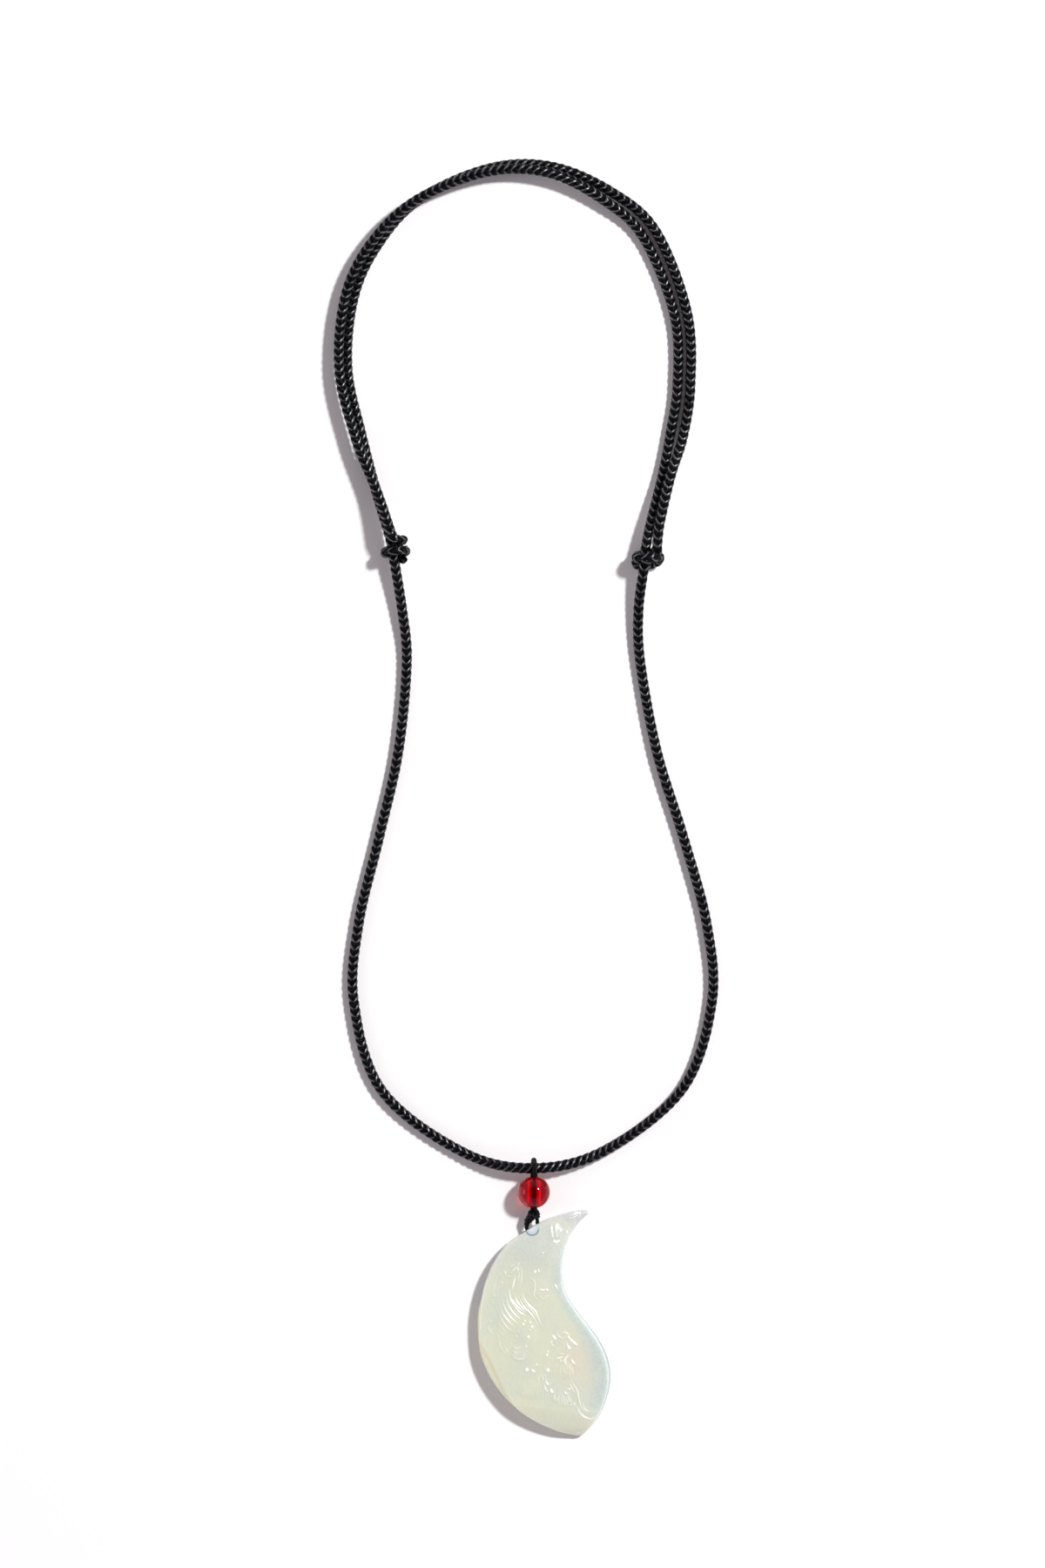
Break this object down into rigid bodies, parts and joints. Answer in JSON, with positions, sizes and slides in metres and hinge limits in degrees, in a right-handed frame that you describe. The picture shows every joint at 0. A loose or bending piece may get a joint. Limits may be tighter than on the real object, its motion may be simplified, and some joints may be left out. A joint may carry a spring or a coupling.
{
  "type": "jade pendant on a neck cord",
  "caption": "Comma-shaped jade pendant with a raised phoenix carving, hung by a thin thread under a red glass bead on a braided black neck cord closed by sliding knots.",
  "frame": {"origin": "middle of the pendant's flat back, on the surface that the necklace lies on", "axes": "+Y from the pendant up to the top of the neck loop, +X to the right as seen from the carved side, +Z out of the carved face, away from the surface it lies on"},
  "size_m": [0.0953, 0.3158, 0.0091],
  "materials": {
    "jade": "polished, milky and slightly translucent",
    "red_glass": "clear deep red, glossy",
    "black_thread": "thin twisted nylon thread, slight sheen",
    "black_cord": "round braided nylon cord, slight sheen"
  },
  "bodies": {
    "root": {"jade_pendant": "jade", "red_bead": "red_glass", "thread_loop": "black_thread", "thread_knot": "black_thread", "thread_bight": "black_thread", "neck_cord": "black_cord", "left_knot": "black_cord", "right_knot": "black_cord"}
  },
  "joints": []
}
